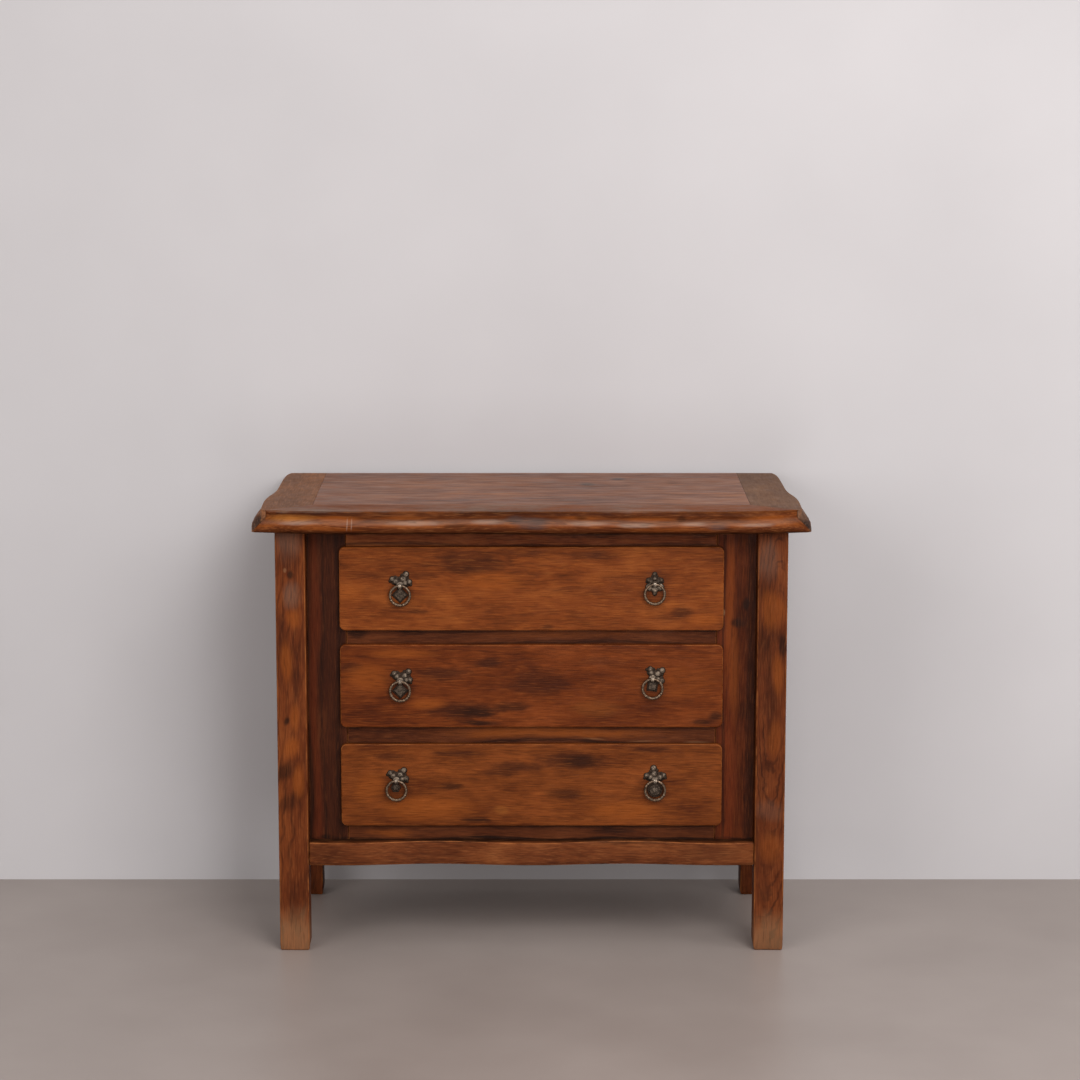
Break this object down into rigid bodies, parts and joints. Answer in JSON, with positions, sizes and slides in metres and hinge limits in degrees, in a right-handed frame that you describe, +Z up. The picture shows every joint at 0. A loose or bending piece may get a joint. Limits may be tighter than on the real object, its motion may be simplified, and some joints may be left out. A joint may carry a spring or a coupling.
{
  "type": "chest of drawers",
  "caption": "Rustic floor-standing chest of drawers in stained worn hardwood, with square posts, a moulded wavy top, lipped drawers that slide and ring pulls that swing.",
  "frame": {"origin": "on the floor under the middle of the top", "axes": "+X to the right seen from the front, +Y to the back, +Z up; the drawers open along -Y"},
  "size_m": [1.016, 0.489, 0.827],
  "materials": {
    "stained_hardwood": "satin, worn",
    "top_hardwood": "satin, worn",
    "bare_wood": "bare",
    "aged_brass": "dark patina",
    "steel": "plain"
  },
  "bodies": {
    "carcass": {"top_front_board": "top_hardwood", "top_left_end_board": "top_hardwood", "top_right_end_board": "top_hardwood", "top_front_plank": "top_hardwood", "top_middle_plank": "top_hardwood", "top_rear_plank": "top_hardwood", "front_left_post": "stained_hardwood", "front_right_post": "stained_hardwood", "rear_left_post": "stained_hardwood", "rear_right_post": "stained_hardwood", "left_front_stile": "stained_hardwood", "right_front_stile": "stained_hardwood", "top_front_rail": "stained_hardwood", "upper_divider_rail": "stained_hardwood", "lower_divider_rail": "stained_hardwood", "bottom_front_rail": "stained_hardwood", "front_apron": "stained_hardwood", "left_upper_side_rail": "stained_hardwood", "left_lower_side_rail": "stained_hardwood", "left_side_panel": "stained_hardwood", "right_upper_side_rail": "stained_hardwood", "right_lower_side_rail": "stained_hardwood", "right_side_panel": "stained_hardwood", "rear_top_rail": "bare_wood", "rear_bottom_rail": "bare_wood", "back_panel": "bare_wood", "upper_drawer_runners": "bare_wood", "middle_drawer_runners": "bare_wood", "lower_drawer_runners": "bare_wood", "upper_drawer_kickers": "bare_wood", "top_screws": "steel", "apron_screws": "steel", "back_nails": "steel"},
    "upper_drawer": {"upper_drawer_front": "stained_hardwood", "upper_drawer_left_side": "bare_wood", "upper_drawer_right_side": "bare_wood", "upper_drawer_back": "bare_wood", "upper_drawer_bottom": "bare_wood", "upper_drawer_pull_plates": "aged_brass", "upper_drawer_pull_pins": "aged_brass"},
    "middle_drawer": {"middle_drawer_front": "stained_hardwood", "middle_drawer_left_side": "bare_wood", "middle_drawer_right_side": "bare_wood", "middle_drawer_back": "bare_wood", "middle_drawer_bottom": "bare_wood", "middle_drawer_pull_plates": "aged_brass", "middle_drawer_pull_pins": "aged_brass"},
    "lower_drawer": {"lower_drawer_front": "stained_hardwood", "lower_drawer_left_side": "bare_wood", "lower_drawer_right_side": "bare_wood", "lower_drawer_back": "bare_wood", "lower_drawer_bottom": "bare_wood", "lower_drawer_pull_plates": "aged_brass", "lower_drawer_pull_pins": "aged_brass"},
    "upper_left_pull_ring": {"upper_left_pull_ring": "aged_brass"},
    "upper_right_pull_ring": {"upper_right_pull_ring": "aged_brass"},
    "middle_left_pull_ring": {"middle_left_pull_ring": "aged_brass"},
    "middle_right_pull_ring": {"middle_right_pull_ring": "aged_brass"},
    "lower_left_pull_ring": {"lower_left_pull_ring": "aged_brass"},
    "lower_right_pull_ring": {"lower_right_pull_ring": "aged_brass"}
  },
  "joints": [
    {"name": "upper_drawer_slide", "type": "slide", "parent": "carcass", "child": "upper_drawer", "axis": [0, -1, 0], "range_m": [0, 0.24]},
    {"name": "middle_drawer_slide", "type": "slide", "parent": "carcass", "child": "middle_drawer", "axis": [0, -1, 0], "range_m": [0, 0.24]},
    {"name": "lower_drawer_slide", "type": "slide", "parent": "carcass", "child": "lower_drawer", "axis": [0, -1, 0], "range_m": [0, 0.24]},
    {"name": "upper_left_ring_swing", "type": "hinge", "parent": "upper_drawer", "child": "upper_left_pull_ring", "pos_m": [-0.239, -0.1923, 0.685], "axis": [-1, 0, 0], "range_deg": [-3, 150]},
    {"name": "upper_right_ring_swing", "type": "hinge", "parent": "upper_drawer", "child": "upper_right_pull_ring", "pos_m": [0.224, -0.1923, 0.6875], "axis": [-1, 0, 0], "range_deg": [-3, 150]},
    {"name": "middle_left_ring_swing", "type": "hinge", "parent": "middle_drawer", "child": "middle_left_pull_ring", "pos_m": [-0.24, -0.1923, 0.507], "axis": [-1, 0, 0], "range_deg": [-3, 150]},
    {"name": "middle_right_ring_swing", "type": "hinge", "parent": "middle_drawer", "child": "middle_right_pull_ring", "pos_m": [0.221, -0.1923, 0.512], "axis": [-1, 0, 0], "range_deg": [-3, 150]},
    {"name": "lower_left_ring_swing", "type": "hinge", "parent": "lower_drawer", "child": "lower_left_pull_ring", "pos_m": [-0.248, -0.1923, 0.3205], "axis": [-1, 0, 0], "range_deg": [-3, 150]},
    {"name": "lower_right_ring_swing", "type": "hinge", "parent": "lower_drawer", "child": "lower_right_pull_ring", "pos_m": [0.227, -0.1923, 0.3205], "axis": [-1, 0, 0], "range_deg": [-3, 150]}
  ]
}
